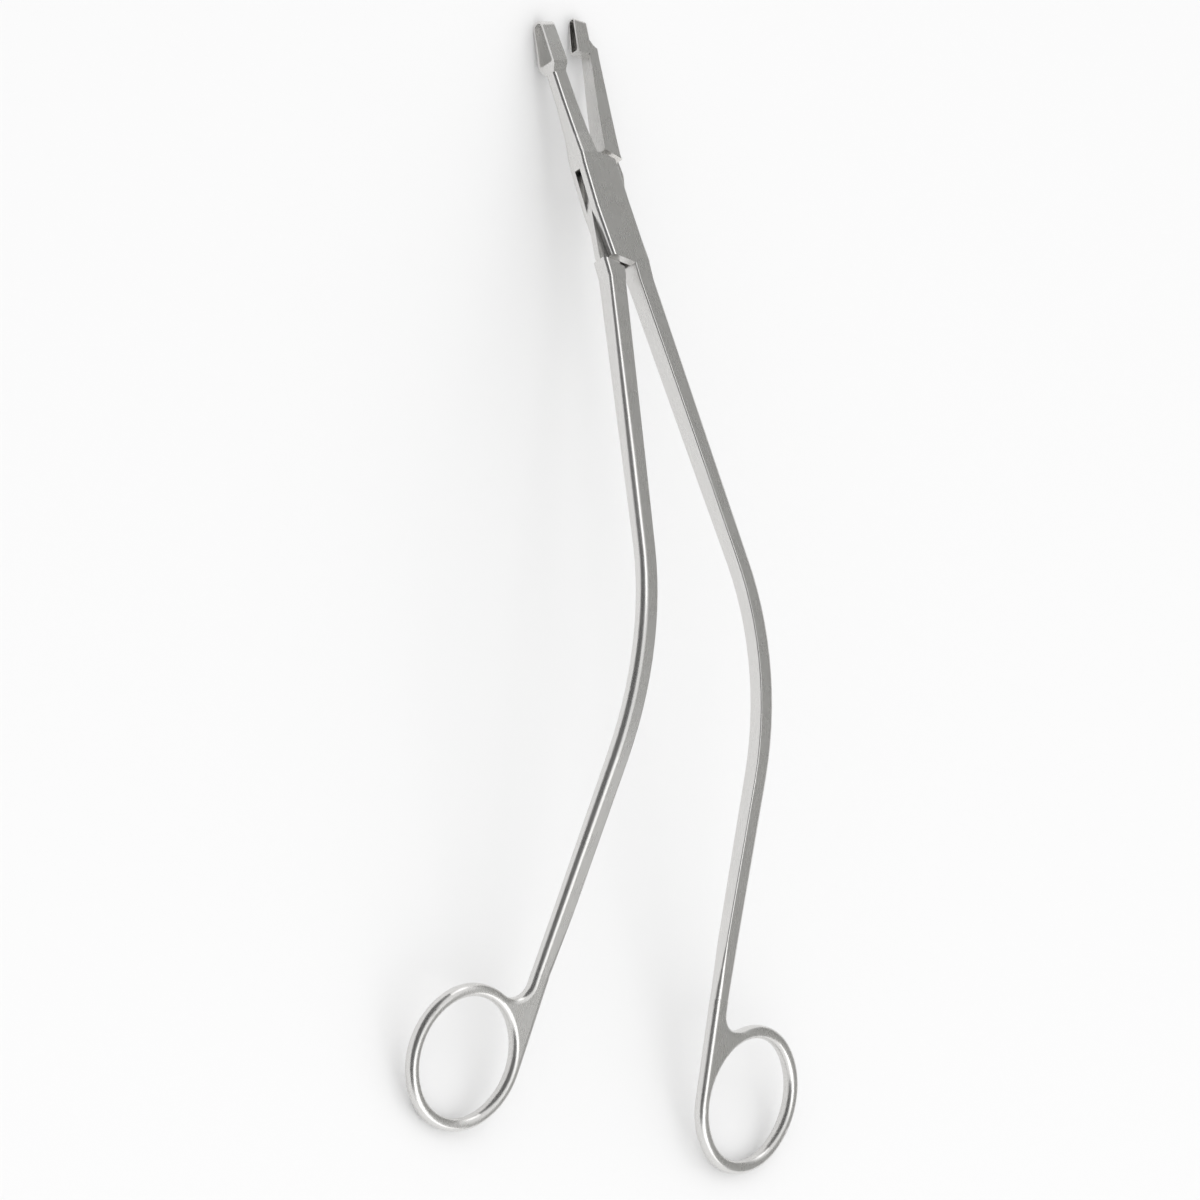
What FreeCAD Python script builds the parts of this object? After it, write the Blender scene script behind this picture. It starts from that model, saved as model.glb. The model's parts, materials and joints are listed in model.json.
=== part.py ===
import FreeCAD, Part
import math
import os
import Sketcher
from FreeCAD import Placement, Rotation, Vector

# Biopsy forceps with ring handles, a box lock and a punch jaw.
# Each arm is modelled about the hinge axis, which is its origin: Z runs from the lock up to the jaw,
# Y is the hinge axis with the front face at minus Y, and X is the direction in which the jaws open.
# The placements at the end open the arms and lay the forceps down as an arch, on jaw tip and rings.
doc = FreeCAD.newDocument("biopsy_forceps")

# Driving dimensions, in millimetres and degrees
DRIVING = [
    # How far the forceps stand open, and how they lie
    ("half_opening", 8.43),
    ("lay_angle", 106.76),
    # Box lock
    ("box_thick", 4.8),
    ("box_left", 4.9),
    ("box_right", 5.0),
    ("box_top", 13.0),
    ("box_bottom", 12.1),
    ("box_slant_top", 1.8),
    ("box_slant_bottom", 2.1),
    ("slot_half_height", 10.1),
    ("tongue_thick", 1.45),
    ("tongue_offset", 0.12),
    ("tongue_gap", 0.05),
    ("tongue_end_gap", 0.3),
    ("recess_gap", 0.25),
    ("upper_shoulder", 14.05),
    ("shoulder_slant", 0.238),
    ("slot_block", 0.2),
    ("box_round", 0.8),
    ("tongue_round", 0.9),
    ("edge_round", 0.35),
    ("face_allowance", 0.02),
    # Hinge pin
    ("pin_radius", 1.6),
    ("pin_gap", 0.05),
    ("pin_bevel", 0.02),
    # Shanks
    ("box_arm_flat", 0.55),
    ("through_arm_flat", 1.21),
    ("root_length", 16.0),
    ("root_width", 4.4),
    ("root_thick", 4.1),
    ("waist_at", 60.0),
    ("waist_width", 4.25),
    ("waist_thick", 3.66),
    ("bend_width", 4.1),
    ("bend_thick", 3.34),
    ("bend_at", 79.1),
    ("bend_radius", 65.7),
    ("bend_angle", 39.8),
    ("inner_round", 0.3),
    ("root_round", 0.9),
    ("outer_round", 1.6),
    ("web_end", 21.0),
    ("grip_length", 14.0),
    ("grip_width", 4.0),
    ("grip_thick", 2.9),
    ("grip_inner_round", 0.35),
    ("grip_outer_round", 1.4),
    # Finger rings
    ("ring_at", 193.3),
    ("ring_tilt", 2.0),
    ("ring_half_length", 14.3),
    ("ring_half_width", 12.7),
    ("ring_end_radius", 11.6),
    ("ring_wire", 2.74),
    ("ring_thick", 2.98),
    ("ring_round", 1.3),
    ("web_round", 4.0),
    ("web_step", 0.04),
    ("web_overlap", 0.5),
    # Jaw with the window
    ("jaw_tip", 43.75),
    ("jaw_base", 33.4),
    ("jaw_outer", 2.55),
    ("jaw_inner", 1.35),
    ("jaw_base_thick", 4.8),
    ("jaw_tip_thick", 3.0),
    ("neck_thick", 2.8),
    ("neck_inner", 0.98),
    ("jaw_lean", 1.0),
    ("jaw_outer_lean", 1.5),
    ("window_wall", 0.45),
    ("window_bottom", 34.1),
    ("window_top", 43.25),
    # Punch jaw
    ("punch_reach", 4.0),
    ("punch_bottom", 36.9),
    ("punch_top", 45.15),
    ("punch_base_thick", 2.6),
    ("punch_tip_thick", 2.0),
    ("punch_wall", 0.35),
    ("punch_depth", 2.3),
    ("punch_arm_outer", 3.7),
    ("punch_arm_foot", 1.31),
    ("punch_arm_length", 24.6),
]
sheet = doc.addObject("Spreadsheet::Sheet", "Sizes")
for row, (alias, number) in enumerate(DRIVING, start=1):
    sheet.set("A%d" % row, alias)
    sheet.set("B%d" % row, str(number))
    sheet.setAlias("B%d" % row, alias)
doc.recompute()


# A size that knows both its number and the expression that the document keeps for it
class Size:
    def __init__(self, value, text):
        self.value = value
        self.text = text

    def __add__(self, other):
        other = size(other)
        return Size(self.value + other.value, "(%s + %s)" % (self.text, other.text))

    def __sub__(self, other):
        other = size(other)
        return Size(self.value - other.value, "(%s - %s)" % (self.text, other.text))

    def __mul__(self, other):
        other = size(other)
        return Size(self.value * other.value, "(%s * %s)" % (self.text, other.text))

    def __rmul__(self, other):
        return size(other) * self

    def __truediv__(self, other):
        other = size(other)
        return Size(self.value / other.value, "(%s / %s)" % (self.text, other.text))

    def __neg__(self):
        return Size(-self.value, "(-1 * %s)" % self.text)

    def root(self):
        return Size(math.sqrt(self.value), "sqrt(%s)" % self.text)


def size(thing):
    if isinstance(thing, Size):
        return thing
    if isinstance(thing, str):
        return Size(float(getattr(sheet, thing)), "Sizes." + thing)
    return Size(float(thing), "(%r)" % float(thing))


def bind(item, prop, thing):
    item.setExpression(prop, size(thing).text)


# Sketch helpers: every corner and radius is held by a constraint bound to the sheet
def new_sketch(body, name, plane):
    sketch = body.newObject("Sketcher::SketchObject", name)
    planes = [item for item in body.Origin.OriginFeatures if item.Role == plane]
    sketch.AttachmentSupport = [(planes[0], "")]
    sketch.MapMode = "FlatFace"
    return sketch


def hold(sketch, kind, *where_and_size):
    *where, amount = where_and_size
    amount = size(amount)
    index = sketch.addConstraint(Sketcher.Constraint(kind, *where, amount.value))
    sketch.setExpression("Constraints[%d]" % index, amount.text)


def polygon(sketch, corners):
    corners = [(size(x), size(y)) for x, y in corners]
    first = sketch.GeometryCount
    points = [Vector(x.value, y.value, 0) for x, y in corners]
    count = len(points)
    for index in range(count):
        sketch.addGeometry(Part.LineSegment(points[index], points[(index + 1) % count]), False)
    for index in range(count):
        after = first + (index + 1) % count
        sketch.addConstraint(Sketcher.Constraint("Coincident", first + index, 2, after, 1))
    for index, (x, y) in enumerate(corners):
        hold(sketch, "DistanceX", -1, 1, first + index, 1, x)
        hold(sketch, "DistanceY", -1, 1, first + index, 1, y)


def arc(sketch, x, y, radius, start, end):
    circle = Part.Circle(Vector(x, y, 0), Vector(0, 0, 1), radius)
    return sketch.addGeometry(Part.ArcOfCircle(circle, start, end), False)


def line(sketch, x0, y0, x1, y1):
    return sketch.addGeometry(Part.LineSegment(Vector(x0, y0, 0), Vector(x1, y1, 0)), False)


def tangent(sketch, first, first_end, second, second_end):
    sketch.addConstraint(Sketcher.Constraint("Tangent", first, first_end, second, second_end))


# Solid helpers
FRONT_VIEW = Placement(Vector(), Rotation(Vector(1, 0, 0), 90))
SIDE_VIEW = Placement(Vector(), Rotation(Vector(1, 1, 1), 120))


def pad(body, sketch, length):
    feature = body.newObject("PartDesign::Pad", sketch.Name + "_pad")
    feature.Profile = sketch
    feature.SideType = "Symmetric"
    bind(feature, "Length", length)
    doc.recompute()
    return feature


def round_edges(body, name, chosen, radius):
    base = body.Tip
    names = ["Edge%d" % (index + 1) for index, edge in enumerate(base.Shape.Edges) if chosen(edge)]
    if not names:
        raise RuntimeError(name + " finds no edges")
    feature = body.newObject("PartDesign::Fillet", name)
    feature.Base = (base, names)
    bind(feature, "Radius", radius)
    doc.recompute()
    return feature


def spread(edge, axis):
    values = [getattr(vertex.Point, axis) for vertex in edge.Vertexes]
    return max(values) - min(values)


def lowest(edge, axis):
    return min(getattr(vertex.Point, axis) for vertex in edge.Vertexes)


# Straight block over an outline. Near and far are its ends, along X in the side view and along Y in
# the front view.
def block(name, view, outline, near, far):
    sketch = doc.addObject("Sketcher::SketchObject", name + "_outline")
    sketch.Placement = view
    if callable(outline):
        outline(sketch)
    else:
        polygon(sketch, outline)
    near, far = (size(near), size(far)) if view is SIDE_VIEW else (-size(far), -size(near))
    solid = doc.addObject("Part::Extrusion", name)
    solid.Base = sketch
    solid.DirMode = "Normal"
    solid.Solid = True
    bind(solid, "LengthFwd", far)
    bind(solid, "LengthRev", -near)
    doc.recompute()
    return solid


def joined(kind, name, shapes):
    result = doc.addObject("Part::" + kind, name)
    result.Shapes = shapes
    doc.recompute()
    return result


def cut(base, tool):
    result = doc.addObject("Part::Cut", tool.Name + "_cut")
    result.Base = base
    result.Tool = tool
    doc.recompute()
    if result.Shape.Volume > base.Shape.Volume - 0.01:
        raise RuntimeError(tool.Name + " cuts nothing")
    return result


def round_bar(name, radius):
    bar = doc.addObject("Part::Cylinder", name)
    bind(bar, "Radius", radius)
    bind(bar, "Height", size("box_thick") * 2)
    bar.Placement = Placement(Vector(), Rotation(Vector(1, 0, 0), 90))
    bind(bar, "Placement.Base.y", size("box_thick"))
    doc.recompute()
    return bar


# Rectangle with four round corners, drawn from its right rear corner round to its right front one
def rounded_rectangle(sketch, left, right, half, rounds):
    left, right, half = size(left), size(right), size(half)
    rounds = [size(radius) for radius in rounds]
    quarter = math.pi / 2
    signs = [(1, 1), (-1, 1), (-1, -1), (1, -1)]
    arcs = []
    for turn, (over, back) in enumerate(signs):
        r = rounds[turn].value
        x = right.value - r if over > 0 else left.value + r
        arcs.append(arc(sketch, x, back * (half.value - r), r, turn * quarter, (turn + 1) * quarter))
    lines = []
    for turn in range(4):
        start = sketch.Geometry[arcs[turn]].EndPoint
        end = sketch.Geometry[arcs[(turn + 1) % 4]].StartPoint
        lines.append(line(sketch, start.x, start.y, end.x, end.y))
    for turn in range(4):
        tangent(sketch, arcs[turn], 2, lines[turn], 1)
        tangent(sketch, lines[turn], 2, arcs[(turn + 1) % 4], 1)
    for turn, direction in enumerate(["Horizontal", "Vertical", "Horizontal", "Vertical"]):
        sketch.addConstraint(Sketcher.Constraint(direction, lines[turn]))
    hold(sketch, "DistanceY", -1, 1, lines[0], 1, half)
    hold(sketch, "DistanceY", -1, 1, lines[2], 1, -half)
    hold(sketch, "DistanceX", -1, 1, lines[1], 1, left)
    hold(sketch, "DistanceX", -1, 1, lines[3], 1, right)
    for index, radius in zip(arcs, rounds):
        hold(sketch, "Radius", index, radius)


def ruled_loft(name, sections):
    loft = doc.addObject("Part::Loft", name)
    loft.Sections = sections
    loft.Solid = True
    loft.Ruled = True
    return loft


# Bar lofted between level sections: height, left, right, thickness, round of the left and of the right edges
def bar_loft(name, stations):
    sections = []
    for number, (height, left, right, thick, left_round, right_round) in enumerate(stations):
        sketch = doc.addObject("Sketcher::SketchObject", "%s_section_%d" % (name, number))
        rounds = [right_round, left_round, left_round, right_round]
        rounded_rectangle(sketch, left, right, size(thick) / 2, rounds)
        bind(sketch, "Placement.Base.z", height)
        sections.append(sketch)
    loft = ruled_loft(name, sections)
    doc.recompute()
    return loft


# Outline of a jaw seen from the side: straight foot, slanted sides and a round tip
def jaw_side(foot, tip_radius, tip_height):
    foot = [(size(half), size(height)) for half, height in foot]
    tip_radius, tip_height = size(tip_radius), size(tip_height)
    centre = tip_height - tip_radius
    count = len(foot)

    def draw(sketch):
        half, height = foot[-1]
        rise = centre.value - height.value
        reach = math.hypot(half.value, rise)
        turn = math.acos(tip_radius.value / reach) - math.atan2(rise, half.value)
        touch = (tip_radius.value * math.cos(turn), centre.value + tip_radius.value * math.sin(turn))
        right = [(half.value, height.value) for half, height in foot] + [touch]
        left = [(-x, y) for x, y in reversed(right)]
        sides = []
        for points in (right, left):
            for start, end in zip(points, points[1:]):
                sides.append(line(sketch, *start, *end))
        tip = arc(sketch, 0, centre.value, tip_radius.value, turn, math.pi - turn)
        base = line(sketch, left[-1][0], left[-1][1], right[0][0], right[0][1])
        for first, second in zip(sides[:count], sides[1:count]):
            sketch.addConstraint(Sketcher.Constraint("Coincident", first, 2, second, 1))
        for first, second in zip(sides[count:], sides[count + 1:]):
            sketch.addConstraint(Sketcher.Constraint("Coincident", first, 2, second, 1))
        tangent(sketch, sides[count - 1], 2, tip, 1)
        tangent(sketch, tip, 2, sides[count], 1)
        sketch.addConstraint(Sketcher.Constraint("Coincident", sides[-1], 2, base, 1))
        sketch.addConstraint(Sketcher.Constraint("Coincident", base, 2, sides[0], 1))
        for index, (half, height) in enumerate(foot):
            hold(sketch, "DistanceX", -1, 1, sides[index], 1, half)
            hold(sketch, "DistanceY", -1, 1, sides[index], 1, height)
            hold(sketch, "DistanceX", -1, 1, sides[-1 - index], 2, -half)
            hold(sketch, "DistanceY", -1, 1, sides[-1 - index], 2, height)
        hold(sketch, "Radius", tip, tip_radius)
        hold(sketch, "DistanceX", -1, 1, tip, 3, size(0))
        hold(sketch, "DistanceY", -1, 1, tip, 3, centre)

    return draw


# Path of a shank in its YZ plane, by the distance from the hinge: straight, one bend to the back, straight
def on_path(distance):
    bend_at = size("bend_at").value
    radius = size("bend_radius").value
    angle = math.radians(size("bend_angle").value)
    turn = min(max((distance - bend_at) / radius, 0), angle)
    rest = max(distance - bend_at - radius * angle, 0)
    run = min(distance, bend_at)
    y = radius * (1 - math.cos(turn)) + rest * math.sin(turn)
    z = -run - radius * math.sin(turn) - rest * math.cos(turn)
    return y, z, math.degrees(turn)


# Flat-sided section of a shank: flat towards the other arm, rounded outside
def shank_section(name, side, flat, distance, width, thick, inner_round, outer_round):
    sketch = doc.addObject("Sketcher::SketchObject", name)
    if side > 0:
        left, right, rounds = size(0), size(width), [outer_round, inner_round, inner_round, outer_round]
    else:
        left, right, rounds = -size(width), size(0), [inner_round, outer_round, outer_round, inner_round]
    rounded_rectangle(sketch, left, right, size(thick) / 2, rounds)
    y, z, turned = on_path(size(distance).value)
    sketch.Placement = Placement(Vector(flat.value, y, z), Rotation(Vector(1, 0, 0), turned))
    return sketch


# A shank is lofted down to the bend, turned about the bend's centre and lofted on to the ring
def shank(name, side, flat):
    start, bend_at = size("root_length"), size("bend_at")
    radius, angle = size("bend_radius"), size("bend_angle")
    bend_end = bend_at + radius * angle * math.pi / 180
    end = size("ring_at") - size("web_end") + "web_overlap"
    stations = [
        ("root", start, "root_width", "root_thick", "inner_round", "root_round"),
        ("waist", "waist_at", "waist_width", "waist_thick", "inner_round", "outer_round"),
        ("bend", bend_at, "bend_width", "bend_thick", "inner_round", "outer_round"),
        ("bent", bend_end, "bend_width", "bend_thick", "inner_round", "outer_round"),
        ("grip", end - "grip_length", "grip_width", "grip_thick", "grip_inner_round", "grip_outer_round"),
        ("end", end, "grip_width", "grip_thick", "ring_round", "ring_round"),
    ]
    sections = [shank_section("%s_%s" % (name, row[0]), side, flat, *row[1:]) for row in stations]
    lofts = [ruled_loft(name + "_upper", sections[:3]), ruled_loft(name + "_lower", sections[3:])]
    bend = doc.addObject("Part::Revolution", name + "_turn")
    bend.Source = sections[2]
    bend.Axis = Vector(1, 0, 0)
    bend.Base = Vector(0, radius.value, -bend_at.value)
    bend.Solid = True
    bind(bend, "Angle", angle)
    bind(bend, "Base.y", radius)
    bind(bend, "Base.z", -bend_at)
    doc.recompute()
    return [lofts[0], bend, lofts[1]]


# Finger ring: an oval of four arcs with a web that runs out into the shank
def finger_ring(name, side, flat):
    body = doc.addObject("PartDesign::Body", name)
    sketch = new_sketch(body, name + "_outline", "XY_Plane")
    length, width = size("ring_half_length"), size("ring_half_width")
    end_radius, half_wire = size("ring_end_radius"), size("ring_wire") / 2
    rise = length - end_radius
    side_radius = (rise * rise + width * width - end_radius * end_radius) / ((width - end_radius) * 2)
    shift = side_radius - width
    turn = math.atan2(rise.value, shift.value)
    outer_end, outer_side = end_radius + half_wire, side_radius + half_wire
    inner_end, inner_side = end_radius - half_wire, side_radius - half_wire
    fillet = size("web_round")
    edge = -(width + half_wire)
    step = size("web_step")
    outside = edge + size("grip_width") + step * 2
    reach = outside + fillet
    climb = (outer_end + fillet) * (outer_end + fillet) - reach * reach
    fillet_height = rise + climb.root()
    fillet_turn = math.atan2((fillet_height - rise).value, reach.value)
    top = size("web_end")

    # The outline is drawn for the arm whose ring lies at plus X
    left = line(sketch, edge.value, top.value, edge.value, 0)
    lower_left = arc(sketch, shift.value, 0, outer_side.value, math.pi, math.pi + turn)
    bottom = arc(sketch, 0, -rise.value, outer_end.value, math.pi + turn, 2 * math.pi - turn)
    right = arc(sketch, -shift.value, 0, outer_side.value, -turn, turn)
    crown = arc(sketch, 0, rise.value, outer_end.value, turn, fillet_turn)
    hollow = arc(sketch, reach.value, fillet_height.value, fillet.value, math.pi, math.pi + fillet_turn)
    outer = line(sketch, outside.value, fillet_height.value, outside.value, top.value)
    close = line(sketch, outside.value, top.value, edge.value, top.value)
    tangent(sketch, left, 2, lower_left, 1)
    tangent(sketch, lower_left, 2, bottom, 1)
    tangent(sketch, bottom, 2, right, 1)
    tangent(sketch, right, 2, crown, 1)
    tangent(sketch, crown, 2, hollow, 2)
    tangent(sketch, hollow, 1, outer, 1)
    sketch.addConstraint(Sketcher.Constraint("Coincident", outer, 2, close, 1))
    sketch.addConstraint(Sketcher.Constraint("Coincident", close, 2, left, 1))
    sketch.addConstraint(Sketcher.Constraint("Vertical", left))
    sketch.addConstraint(Sketcher.Constraint("Vertical", outer))
    sketch.addConstraint(Sketcher.Constraint("Horizontal", close))
    hold(sketch, "Radius", lower_left, outer_side)
    hold(sketch, "Radius", bottom, outer_end)
    hold(sketch, "Radius", right, outer_side)
    hold(sketch, "Radius", crown, outer_end)
    hold(sketch, "Radius", hollow, fillet)
    hold(sketch, "DistanceX", -1, 1, bottom, 3, size(0))
    hold(sketch, "DistanceY", -1, 1, bottom, 3, -rise)
    hold(sketch, "DistanceX", -1, 1, crown, 3, size(0))
    hold(sketch, "DistanceY", -1, 1, crown, 3, rise)
    hold(sketch, "DistanceY", -1, 1, lower_left, 3, size(0))
    hold(sketch, "DistanceY", -1, 1, left, 1, top)
    hold(sketch, "DistanceX", -1, 1, outer, 1, outside)

    # The finger hole
    holes = [
        arc(sketch, -shift.value, 0, inner_side.value, -turn, turn),
        arc(sketch, 0, rise.value, inner_end.value, turn, math.pi - turn),
        arc(sketch, shift.value, 0, inner_side.value, math.pi - turn, math.pi + turn),
        arc(sketch, 0, -rise.value, inner_end.value, math.pi + turn, 2 * math.pi - turn),
    ]
    for index in range(4):
        tangent(sketch, holes[index], 2, holes[(index + 1) % 4], 1)
    for index, radius, height in [(1, inner_end, rise), (3, inner_end, -rise)]:
        hold(sketch, "Radius", holes[index], radius)
        hold(sketch, "DistanceX", -1, 1, holes[index], 3, size(0))
        hold(sketch, "DistanceY", -1, 1, holes[index], 3, height)
    hold(sketch, "Radius", holes[0], inner_side)
    hold(sketch, "Radius", holes[2], inner_side)
    pad(body, sketch, "ring_thick")

    half = size("ring_thick").value / 2

    def rim(candidate):
        flat_edge = abs(abs(lowest(candidate, "z")) - half) < 1e-4 and spread(candidate, "z") < 1e-4
        return flat_edge and lowest(candidate, "y") < top.value - 0.01

    round_edges(body, name + "_round", rim, "ring_round")
    y, z, turned = on_path((size("ring_at") - top).value)
    turned = turned - size("ring_tilt").value
    slope = math.radians(turned)
    centre = Vector(
        flat.value - side * (edge + step).value,
        y + top.value * math.sin(slope),
        z - top.value * math.cos(slope),
    )
    tilt = Rotation(Vector(1, 0, 0), turned + 90)
    if side < 0:
        tilt = tilt.multiply(Rotation(Vector(0, 1, 0), 180))
    body.Placement = Placement(centre, tilt)
    return body


# Fuse head, shank and ring into one arm
def arm(name, head, side, flat):
    pieces = head + shank(name + "_shank", side, flat)
    pieces.append(finger_ring(name + "_ring", side, flat))
    fuse = joined("MultiFuse", name, pieces)
    fuse.Refine = True
    fuse.Label = name
    doc.recompute()
    return fuse


# Box arm: box of the lock, jaw arm on the left, jaw with the window, shank on the right
def box_head():
    flat, root = size("box_arm_flat"), size("root_length")
    left, right = size("box_left"), size("box_right")
    top, bottom, thick = size("box_top"), size("box_bottom"), size("box_thick")
    base, tip, outer, inner = size("jaw_base"), size("jaw_tip"), size("jaw_outer"), size("jaw_inner")
    neck, wall, soft, edge = size("neck_thick"), size("window_wall"), size("box_round"), size("edge_round")
    inner_round = size("inner_round")

    # The bar is a little too thick at the box, and the region below cuts its faces flat
    face = thick + "face_allowance"
    bar = bar_loft("box_bar", [
        (-bottom, -left + 0.05, right - 0.15, face, soft, edge),
        (-8.0, -left + 0.02, right - 0.2, face, soft, edge),
        (1.0, -left, right, face, soft, edge),
        (top - 2.0, -left + 0.75, right + 0.35, face, soft, edge),
        (top, -left + 1.05, right + 0.35, face, soft, edge),
        (top + 5.0, -outer - 0.7, right, thick - 1.1, soft, edge),
        (base - 9.0, -outer - 0.3, right, neck + 0.2, soft, edge),
        (base - 1.9, -outer - 0.02, right, neck, soft, edge),
        (base + 0.6, -outer + 0.02, right, neck, soft, edge),
    ])
    region = block("box_region", FRONT_VIEW, [
        (flat, -bottom - 1),
        (right + 1, -bottom - 1),
        (right + 1, top - "box_slant_top"),
        (right + 0.35, top - "box_slant_top"),
        (flat + 1.05, top),
        (flat + 0.15, top),
        ("neck_inner", base - 1.5),
        (inner - 0.2, base),
        (inner - 0.2, base + 0.5),
        (-left - 1, base + 0.5),
        (-left - 1, -bottom + size("box_slant_bottom") * 1.2),
        (flat, -bottom),
    ], -thick / 2, thick / 2)
    bar = joined("MultiCommon", "box_bar_trimmed", [bar, region])
    shank_width, shank_thick = size("root_width"), size("root_thick")
    flare = bar_loft("box_flare", [
        (-root, flat, flat + shank_width, shank_thick, inner_round, "root_round"),
        (-bottom + 0.4, flat, right - 0.19, thick - "face_allowance", inner_round, edge),
    ])
    lean, outer_lean = size("jaw_lean"), size("jaw_outer_lean")
    jaw_front = block("jaw_front", FRONT_VIEW, [
        ("neck_inner", base - 1.5),
        (inner, base + 0.3),
        (inner + lean, tip - 0.8),
        (inner + lean - 0.2, tip + 0.5),
        (-outer + outer_lean + 0.2, tip + 0.5),
        (-outer + outer_lean, tip - 0.4),
        (-outer, base + 0.6),
        (-outer, base - 1.5),
    ], -thick, thick)
    foot, shoulder = size("neck_thick") / 2, size("jaw_base_thick") / 2
    tip_radius = size("jaw_tip_thick") / 2
    jaw_flank = block("jaw_flank", SIDE_VIEW, jaw_side([
        (foot - 0.03, base - 1.9),
        (foot + 0.12, base - 1.1),
        (shoulder - 0.2, base - 0.1),
        (shoulder, base + 0.6),
    ], tip_radius, tip), -outer * 2, inner * 2)
    jaw = joined("MultiCommon", "jaw", [jaw_front, jaw_flank])
    window = block("window", SIDE_VIEW, jaw_side([
        (shoulder - wall - 0.35, "window_bottom"),
        (shoulder - wall - 0.06, size("window_bottom") + 0.35),
    ], tip_radius - wall, "window_top"), -outer * 2, inner * 2)

    # Slot for the tongue of the other arm, open on both sides but for two corner blocks
    slot = size("slot_half_height")
    far = left * 2
    middle, half = size("tongue_offset"), size("tongue_thick") / 2 + "tongue_gap"
    slot_cut = block("slot", FRONT_VIEW, [
        (-far, -slot * 1.4),
        (flat, -slot * 1.4),
        (flat, -slot),
        (far, -slot),
        (far, slot * 1.4),
        (flat + "slot_block", slot * 1.4),
        (flat + "slot_block", slot),
        (-far, slot),
    ], middle - half, middle + half)
    solid = joined("MultiFuse", "box_head", [bar, flare, jaw])
    solid = cut(cut(solid, slot_cut), window)
    return [cut(solid, round_bar("pin_seat", size("pin_radius")))]


# Through arm: tongue of the lock, jaw arm on the right with the punch, shank on the left
def through_head():
    flat, root = size("through_arm_flat"), size("root_length")
    left, right = size("box_left"), size("box_right")
    end = size("slot_half_height") - "tongue_end_gap"
    reach, outer, thick = size("punch_reach"), size("punch_arm_outer"), size("root_thick")
    bottom, top = size("punch_bottom"), size("punch_top")
    soft, edge = size("tongue_round"), size("edge_round")
    shank_left, wide = flat - "root_width", right + 0.2
    shoulder = size("box_top") + 1.2
    taper = (outer - "punch_arm_foot") / "punch_arm_length"
    bar = bar_loft("through_bar", [
        (-root, shank_left, wide, thick, soft, edge),
        (-11.0, -left + 0.65, wide, thick, soft, edge),
        (-1.0, -left, wide, thick, soft, edge),
        (end, -left, wide, thick, soft, edge),
        (shoulder, -left, outer, thick, soft, edge),
        (shoulder + 6.8, -left, outer - taper * 6.8, thick - 0.5, soft, edge),
        (bottom - 0.8, -left, outer - taper * (bottom - 0.8 - shoulder), "neck_thick", soft, edge),
        (bottom + 2.5, -left, outer - taper * (bottom + 2.5 - shoulder), "neck_thick", soft, edge),
    ])
    region = block("through_region", FRONT_VIEW, [
        (flat, -root - 1),
        (flat, -end),
        (right / 2, -end + 0.35),
        (right - 0.3, -end + 1.4),
        (right - 0.1, 0.0),
        (right + 0.05, end),
        (right - 0.35, end + 3.2),
        (outer + 0.05, shoulder),
        (outer + 1, shoulder),
        (outer + 1, bottom + 1.9),
        (outer - 3.1, bottom + 1.9),
        (-1.05, bottom + 0.3),
        (-0.85, shoulder + 9.3),
        (-0.5, shoulder + 0.3),
        (0.0, end + 1.5),
        (0.0, end),
        (-left / 2, end - 0.35),
        (-left + 0.2, end - 1.4),
        (-left, -1.0),
        (-left - 1, -1.0),
        (-left - 1, -root - 1),
    ], -thick, thick)
    bar = joined("MultiCommon", "through_bar_trimmed", [bar, region])
    punch_front = block("punch_front", FRONT_VIEW, [
        (-reach, bottom),
        (outer - 2.5, bottom),
        (outer - 2.45, bottom + 1.86),
        (outer - 3.55, bottom + 2.6),
        (outer - 4.3, bottom + 3.6),
        (outer - 4.6, top - 0.6),
        (outer - 4.7, top + 0.5),
        (-reach + 0.4, top + 0.5),
        (-reach + 0.1, top - 0.5),
        (-reach, top - 1.3),
    ], -thick, thick)
    base_half, tip_half = size("punch_base_thick") / 2, size("punch_tip_thick") / 2
    wall = size("punch_wall")
    punch_flank = block("punch_flank", SIDE_VIEW, jaw_side([
        (base_half - 0.12, bottom),
        (base_half, bottom + 0.3),
    ], tip_half, top), -reach * 2, outer * 2)
    punch = joined("MultiCommon", "punch", [punch_front, punch_flank])

    # Recesses for the two walls of the box, front and back of the tongue
    middle, half = size("tongue_offset"), size("tongue_thick") / 2
    far = size("box_thick") * 2
    reach_top = size("upper_shoulder")
    slant = far * "shoulder_slant"
    reach_bottom = size("box_bottom") + "recess_gap"
    region = [
        (-far, -reach_bottom + 1.5),
        (far, -reach_bottom - 2.5),
        (far, reach_top - slant),
        (-far, reach_top + slant),
    ]
    front_recess = block("front_recess", FRONT_VIEW, region, -size("box_thick"), middle - half)
    back_recess = block("back_recess", FRONT_VIEW, region, middle + half, "box_thick")

    # Trough of the punch, open to the left
    trough = block("trough", SIDE_VIEW, jaw_side([
        (base_half - wall - 0.3, bottom + wall + 0.1),
        (base_half - wall - 0.03, bottom + wall + 0.4),
    ], tip_half - wall, top - wall), -reach * 2, size("punch_depth") - reach)
    solid = joined("MultiFuse", "through_head", [bar, punch])
    solid = cut(cut(cut(solid, front_recess), back_recess), trough)
    return [cut(solid, round_bar("pin_bore", size("pin_radius") + "pin_gap"))]


# Hinge pin, turned, its ends dressed flush with the box
def hinge_pin():
    body = doc.addObject("PartDesign::Body", "pivot_pin")
    body.Label = "pivot_pin"
    sketch = new_sketch(body, "pin_profile", "YZ_Plane")
    half, radius = size("box_thick") / 2, size("pin_radius")
    bevel = size("pin_bevel")
    polygon(sketch, [
        (-half, 0.0),
        (half, 0.0),
        (half, radius - bevel),
        (half - bevel, radius),
        (-half + bevel, radius),
        (-half, radius - bevel),
    ])
    turned = body.newObject("PartDesign::Revolution", "pin_turned")
    turned.Profile = sketch
    turned.ReferenceAxis = (sketch, ["H_Axis"])
    turned.Angle = 360
    doc.recompute()
    return body


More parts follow.
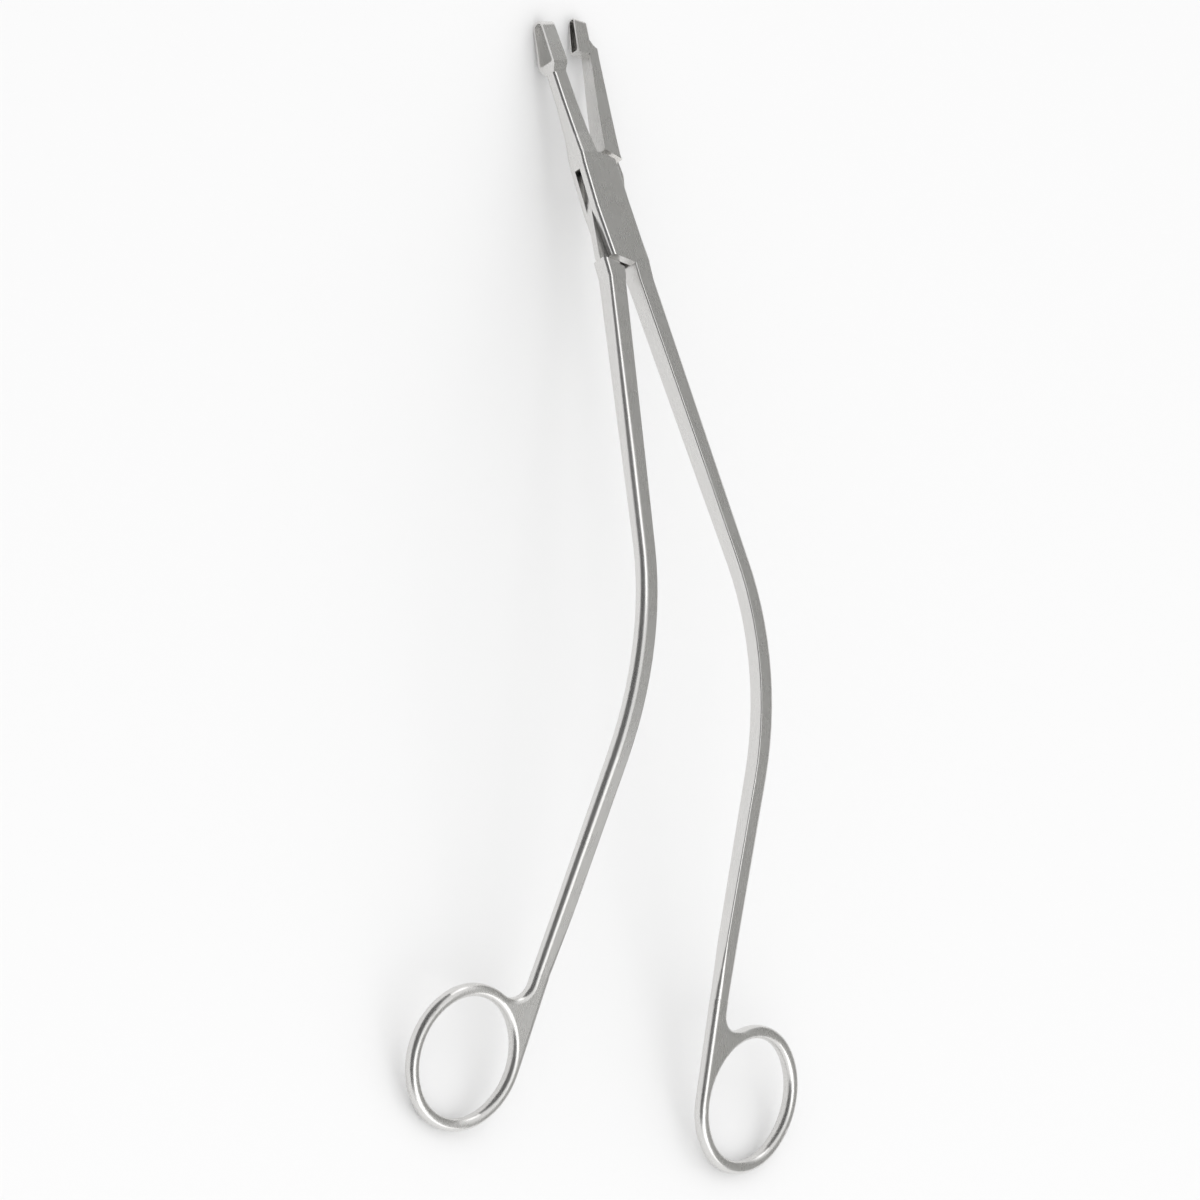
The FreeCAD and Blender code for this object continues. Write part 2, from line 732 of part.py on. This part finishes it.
box_arm = arm("box_arm", box_head(), 1, size("box_arm_flat"))
through_arm = arm("through_arm", through_head(), -1, size("through_arm_flat"))
pivot_pin = hinge_pin()

# Open the arms about the pin and lay the forceps down, front face up
opening = size("half_opening").value
lay = Placement(Vector(), Rotation(Vector(1, 0, 0), -size("lay_angle").value))
turns = [(box_arm, -opening), (through_arm, opening), (pivot_pin, -opening)]
for item, turn in turns:
    item.Placement = lay.multiply(Placement(Vector(), Rotation(Vector(0, 1, 0), turn)))
doc.recompute()

# Stand the whole on the origin: its middle over it, its lowest point level with it
boxes = [item.Shape.optimalBoundingBox(False, False) for item, turn in turns]
middle_x = (min(box.XMin for box in boxes) + max(box.XMax for box in boxes)) / 2
middle_y = (min(box.YMin for box in boxes) + max(box.YMax for box in boxes)) / 2
stand = Placement(Vector(-middle_x, -middle_y, -min(box.ZMin for box in boxes)), Rotation())
for item, turn in turns:
    item.Placement = stand.multiply(item.Placement)
doc.recompute()

for item in doc.Objects:
    if "Invalid" in item.State or "Error" in item.State:
        raise RuntimeError("%s is not valid" % item.Name)

os.makedirs("parts", exist_ok=True)
for item in [box_arm, through_arm, pivot_pin]:
    if item.Shape.isNull() or not item.Shape.isValid():
        raise RuntimeError("%s has no valid shape" % item.Label)
    item.Shape.exportStep("parts/%s.step" % item.Label)
    print(item.Label, len(item.Shape.Solids), "solid", round(item.Shape.Volume, 1), "mm3")
hinge = stand.multiply(lay)
print("hinge at", hinge.Base, "its axis along", hinge.Rotation.multVec(Vector(0, 1, 0)))
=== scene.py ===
# %% [markdown]
# # Biopsy forceps
# The solids of the forceps come packed from the CAD model: two steel arms that cross in a box
# lock, and the pin that they turn on. This lesson dresses them: it gives each a steel finish,
# lays them on a pale table and lights them as a product photograph does. The forceps are bare
# metal with no loose piece on them, so the solids stay as they are and no piece is added.

# %% Load the frame
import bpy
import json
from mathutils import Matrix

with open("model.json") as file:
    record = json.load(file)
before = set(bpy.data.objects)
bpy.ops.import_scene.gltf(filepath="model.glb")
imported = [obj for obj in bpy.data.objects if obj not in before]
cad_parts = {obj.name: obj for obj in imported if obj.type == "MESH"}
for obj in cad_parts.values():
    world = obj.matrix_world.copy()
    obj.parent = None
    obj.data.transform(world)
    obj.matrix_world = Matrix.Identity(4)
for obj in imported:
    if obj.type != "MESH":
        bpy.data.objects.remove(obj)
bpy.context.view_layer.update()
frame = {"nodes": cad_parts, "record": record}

# %% Modules and units
import json
import math
import bpy
from mathutils import Matrix, Vector

MM = 0.001
print("Lengths in millimetres are multiplied by", MM)

# %% [markdown]
# ## Two helpers for materials
# Colours are written as sRGB hex codes, as a paint chart gives them, while Blender reckons in
# linear light, so one function turns the one into the other. A second adds a node to a material,
# with its settings and its links, so that each node of a finish can be read as one statement.

# %% Colours
def linear(code):
    """An sRGB hex code as a linear colour with alpha."""
    channels = [int(code[i:i + 2], 16) / 255 for i in (0, 2, 4)]
    return [c / 12.92 if c <= 0.04045 else ((c + 0.055) / 1.055) ** 2.4
            for c in channels] + [1.0]


print("Mid grey 808080 is", round(linear("808080")[0], 3), "in linear light")

# %% Nodes
def add_node(tree, kind, settings=None, inputs=None, links=None):
    """One node, with its settings, constant inputs and links from other nodes' outputs."""
    node = tree.nodes.new(kind)
    for name, value in (settings or {}).items():
        setattr(node, name, value)
    for name, value in (inputs or {}).items():
        node.inputs[name].default_value = value
    for name, output in (links or {}).items():
        tree.links.new(output, node.inputs[name])
    return node


# %% [markdown]
# ## The way of the grinding lines
# Surgical forceps are forged from martensitic stainless steel and ground along their length, which
# leaves fine lines that run down the arms. The lines could be drawn with an image or a UV map, but
# a noise in real millimetres needs neither and fits each face. Each arm is turned in plan and bent
# in height, so the noise is turned with the arm, and its height is taken from the arm's middle
# line: one slope falls to the jaws, one to the rings, and the lower of the two, softly blended,
# follows the bend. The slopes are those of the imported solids.

# %% Middle line of an arm
ARM_TURN = 8.4                     # degrees in plan, half of how far the arms stand apart
JAW_SIDE = (-math.tan(math.radians(16.8)), 36.6 * MM)    # slope, and height over the origin
RING_SIDE = (math.tan(math.radians(23.0)), 51.0 * MM)
BEND_BLEND = 20.0 * MM


def along_arm(tree, place, arm_turn):
    """Coordinates whose Y runs along the arm and whose Z is the height over its middle line."""
    turned = add_node(tree, "ShaderNodeMapping",
                      inputs={"Rotation": (0.0, 0.0, math.radians(-arm_turn))},
                      links={"Vector": place.outputs["Object"]})
    axes = add_node(tree, "ShaderNodeSeparateXYZ", links={"Vector": turned.outputs["Vector"]})
    slopes = [add_node(tree, "ShaderNodeMath", {"operation": "MULTIPLY_ADD"},
                       {1: slope, 2: height}, {0: axes.outputs["Y"]})
              for slope, height in (JAW_SIDE, RING_SIDE)]
    middle = add_node(tree, "ShaderNodeMath", {"operation": "SMOOTH_MIN"}, {2: BEND_BLEND},
                      {0: slopes[0].outputs[0], 1: slopes[1].outputs[0]})
    above = add_node(tree, "ShaderNodeMath", {"operation": "SUBTRACT"}, links={
        0: axes.outputs["Z"], 1: middle.outputs[0]})
    return add_node(tree, "ShaderNodeCombineXYZ", links={
        "X": axes.outputs["X"], "Y": axes.outputs["Y"], "Z": above.outputs[0]})


print("The lines bend where the slopes meet, over", round(BEND_BLEND / MM), "mm")

# %% [markdown]
# ## Steel
# After grinding, the forceps are brushed or tumbled to a soft satin that doesn't dazzle in
# theatre light. The steel mirrors its surroundings, blurred, and the lines make that blur
# streaky. Real grinding lines are finer than a pixel here, so they are drawn a quarter of a
# millimetre wide, as coarse as they need to be to show. They darken the steel a little, roughen it
# and stand up by less than a thousandth of a millimetre. A second, broad noise makes the polish
# uneven by patches of some millimetres, as handwork is. The index of refraction stays at the
# default, as a metal's should.

# %% Satin stainless steel
LINE_WIDTH = 0.25 * MM             # coarser than the real lines, so that they show
LINE_LENGTH = 9.0 * MM
LINE_DEPTH = 0.0006 * MM
LINE_DETAIL = 2.0
LINE_SHADE = 0.9                   # the darkest line against the brightest steel
PATCH = 6.0 * MM
PATCH_DETAIL = 1.0
POLISH_RANGE = (0.6, 1.4)          # where the two noises, added up, mostly lie
ROUGHNESS_SPREAD = 0.03


def satin_steel(name, tone, roughness, arm_turn):
    """Ground steel whose lines run along an arm that is turned by arm_turn degrees in plan."""
    material = bpy.data.materials.new(name)
    material.use_nodes = True
    tree = material.node_tree
    tree.nodes.clear()
    place = add_node(tree, "ShaderNodeTexCoord")
    straight = along_arm(tree, place, arm_turn)
    squeezed = add_node(tree, "ShaderNodeMapping",
                        inputs={"Scale": (1 / LINE_WIDTH, 1 / LINE_LENGTH, 1 / LINE_WIDTH)},
                        links={"Vector": straight.outputs["Vector"]})
    lines = add_node(tree, "ShaderNodeTexNoise", inputs={"Scale": 1.0, "Detail": LINE_DETAIL},
                     links={"Vector": squeezed.outputs["Vector"]})
    patches = add_node(tree, "ShaderNodeTexNoise",
                       inputs={"Scale": 1 / PATCH, "Detail": PATCH_DETAIL},
                       links={"Vector": place.outputs["Object"]})
    polish = add_node(tree, "ShaderNodeMath", {"operation": "ADD"}, links={
        0: lines.outputs["Fac"], 1: patches.outputs["Fac"]})
    rough = add_node(tree, "ShaderNodeMapRange", inputs={
        "From Min": POLISH_RANGE[0], "From Max": POLISH_RANGE[1],
        "To Min": roughness - ROUGHNESS_SPREAD, "To Max": roughness + ROUGHNESS_SPREAD},
        links={"Value": polish.outputs[0]})
    bright = linear(tone)
    colour = add_node(tree, "ShaderNodeMix", {"data_type": "RGBA"}, inputs={
        "A": bright, "B": [c * LINE_SHADE for c in bright[:3]] + [1.0]},
        links={"Factor": lines.outputs["Fac"]})
    relief = add_node(tree, "ShaderNodeBump", inputs={"Strength": 1.0, "Distance": LINE_DEPTH},
                      links={"Height": lines.outputs["Fac"]})
    shader = add_node(tree, "ShaderNodeBsdfPrincipled", inputs={"Metallic": 1.0}, links={
        "Base Color": colour.outputs["Result"], "Roughness": rough.outputs["Result"],
        "Normal": relief.outputs["Normal"]})
    add_node(tree, "ShaderNodeOutputMaterial", links={"Surface": shader.outputs["BSDF"]})
    return material


print("Lines", LINE_WIDTH / MM, "mm wide and", LINE_LENGTH / MM, "mm long")

# %% [markdown]
# ## A finish for each solid
# Both arms are the same steel, and the eye reads them as one metal. They have a material each
# because their lines run in different directions. The pin was dressed down flush with the box
# after it was driven in. It is a touch greyer and rougher, and the eye can hardly tell it from the
# face around it, as in the photograph, where it can't be seen.

# %% Finishes
ARM_TONE, ARM_ROUGHNESS = "E3E2E0", 0.28
PIN_TONE, PIN_ROUGHNESS = "DFDEDC", 0.3
FINISH = {
    "box_arm": satin_steel("satin_stainless_steel_left_arm", ARM_TONE, ARM_ROUGHNESS, ARM_TURN),
    "through_arm": satin_steel("satin_stainless_steel_right_arm", ARM_TONE, ARM_ROUGHNESS,
                               -ARM_TURN),
    "pivot_pin": satin_steel("dressed_stainless_pin", PIN_TONE, PIN_ROUGHNESS, ARM_TURN),
}
for name, node in frame["nodes"].items():
    node.data.materials.clear()
    node.data.materials.append(FINISH[name])
    print(name, "gets", node.data.materials[0].name)

# %% [markdown]
# ## Sheets of card
# The table and the boards beside it are flat sheets of matt card, so one helper makes the card
# and one lays out a sheet. Matt card scatters light evenly and has hardly any gloss of its own,
# which leaves the steel as the only thing that shines.

# %% Matt card
CARD_ROUGHNESS = 0.9


def matt(name, tone):
    """Uncoated card in one tone, with hardly any gloss."""
    material = bpy.data.materials.new(name)
    material.use_nodes = True
    shader = material.node_tree.nodes["Principled BSDF"]
    shader.inputs["Base Color"].default_value = linear(tone)
    shader.inputs["Roughness"].default_value = CARD_ROUGHNESS
    return material


# %% One sheet
LIES_FLAT = 0.99                   # each side of such a sheet is level, so Y is taken


def sheet(name, width, height, place, facing, material):
    """A flat sheet whose front faces the given direction, its width level."""
    bpy.ops.object.select_all(action="DESELECT")
    bpy.ops.mesh.primitive_plane_add(size=1.0, location=place)
    item = bpy.context.object
    item.name = name
    out = Vector(facing).normalized()
    if abs(out.z) > LIES_FLAT:
        level = Vector((0, 1, 0))
    else:
        level = Vector((0, 0, 1)).cross(out).normalized()
    item.rotation_euler = Matrix((level, out.cross(level), out)).transposed().to_euler()
    item.scale = (width, height, 1.0)
    item.data.materials.append(material)
    return item


# %% [markdown]
# ## Table
# One wide white card lies under the forceps. The camera sees it nearly white, with the soft
# shadow of the forceps on it, and the sides of the steel mirror it.

# %% Table
TABLE_SIDE = 4.0
table = sheet("table", TABLE_SIDE, TABLE_SIDE, (0, 0, 0), (0, 0, 1),
              matt("white_card", "F2F2F2"))
print(table.name, "is", TABLE_SIDE, "m wide")

# %% [markdown]
# ## Boards
# The forceps lie in a white light tent, where bright metal would lose its contrast. Two boards
# give it back: a dark one at the left draws the dark band along the rounded edges, and a grey one
# at the right keeps the front faces a calm mid grey. The tent shines between the two as the thin
# bright line beside the front faces. The boards stand outside the picture and show in the steel
# alone, so they take no light from the table. They serve the photograph's view: seen from straight
# above, the faces that look up mirror the bare tent and come out white.

# %% Boards
BOARDS = [  # name, width, height, place, facing, tone
    ("black_board", 2.3, 1.0, (-0.59, 0.05, 0.4), (0.79, 0.0, -0.61), "686868"),
    ("grey_board", 2.3, 1.25, (0.85, 0.05, 0.62), (-0.86, 0.0, -0.5), "A4A4A2"),
]
for name, width, height, place, facing, tone in BOARDS:
    card = matt(name.replace("board", "foam_board"), tone)
    board = sheet(name, width, height, place, facing, card)
    board.visible_camera = False
    board.visible_diffuse = False
    board.visible_shadow = False
    print(name, "at", place)

# %% [markdown]
# ## Tent and lamps
# The tent is a plain white world that lights from all sides and gives nearly all the light. A
# large soft lamp in front gives the light a direction, and a small weak one hangs over the jaws'
# end. Both are weak enough to keep the table just under full white in the camera's view.

# %% Tent
TENT_STRENGTH = 0.95
world = bpy.data.worlds.new("light_tent")
bpy.context.scene.world = world
world.use_nodes = True
tent = world.node_tree.nodes["Background"]
tent.inputs["Color"].default_value = linear("FFFFFF")
tent.inputs["Strength"].default_value = TENT_STRENGTH
print("Tent at strength", TENT_STRENGTH)

# %% Lamps
AIM = (0, 0, 0)
LAMPS = [  # name, place, width, height, watts
    ("front_softbox", (0.1, -1.25, 1.1), 1.8, 1.3, 6),
    ("top_softbox", (0.0, 0.65, 0.85), 0.3, 0.6, 0.6),
]
for name, place, width, height, watts in LAMPS:
    lamp = bpy.data.lights.new(name, "AREA")
    lamp.shape = "RECTANGLE"
    lamp.size = width
    lamp.size_y = height
    lamp.energy = watts
    light = bpy.data.objects.new(name, lamp)
    bpy.context.collection.objects.link(light)
    light.location = place
    light.rotation_euler = (Vector(AIM) - Vector(place)).to_track_quat("-Z", "Y").to_euler()
    print(name, "gives", watts, "W")

# %% [markdown]
# ## Camera
# The photograph was taken from the left and above with a long lens, so far away that parallel
# edges stay parallel. The camera's right and up directions were measured on the forceps. The hinge
# itself can't be seen, so the camera's middle is set for the lock around it to fall on its place.

# %% Camera
RIGHT = Vector((0.7434, -0.0190, 0.6687)).normalized()
UP = Vector((-0.1143, 0.98135, 0.15490)).normalized()
BACK = RIGHT.cross(UP).normalized()
UP = BACK.cross(RIGHT)
PICTURE_WIDTH = 246.9 * MM
PICTURE_PIXELS = 1200
PIXEL = PICTURE_WIDTH / PICTURE_PIXELS
MIDDLE = PICTURE_PIXELS / 2
HINGE_ACROSS, HINGE_DOWN = 607.7, 213.9    # where the hinge lies in the picture, in pixels
CAMERA_DISTANCE = 0.6
hinge = Vector(frame["record"]["behaviour"]["joints"][0]["pos_m"])
centre = (hinge + (MIDDLE - HINGE_ACROSS) * PIXEL * RIGHT
          - (MIDDLE - HINGE_DOWN) * PIXEL * UP)
camera_data = bpy.data.cameras.new("camera")
camera_data.type = "ORTHO"
camera_data.ortho_scale = PICTURE_WIDTH
camera = bpy.data.objects.new("camera", camera_data)
bpy.context.collection.objects.link(camera)
camera.matrix_world = (Matrix.Translation(centre + CAMERA_DISTANCE * BACK)
                       @ Matrix((RIGHT, UP, BACK)).transposed().to_4x4())
bpy.context.scene.camera = camera
bpy.context.scene.view_settings.view_transform = "Standard"
print("The picture is", round(PICTURE_WIDTH / MM, 1), "mm wide, one pixel", round(PIXEL / MM, 3))
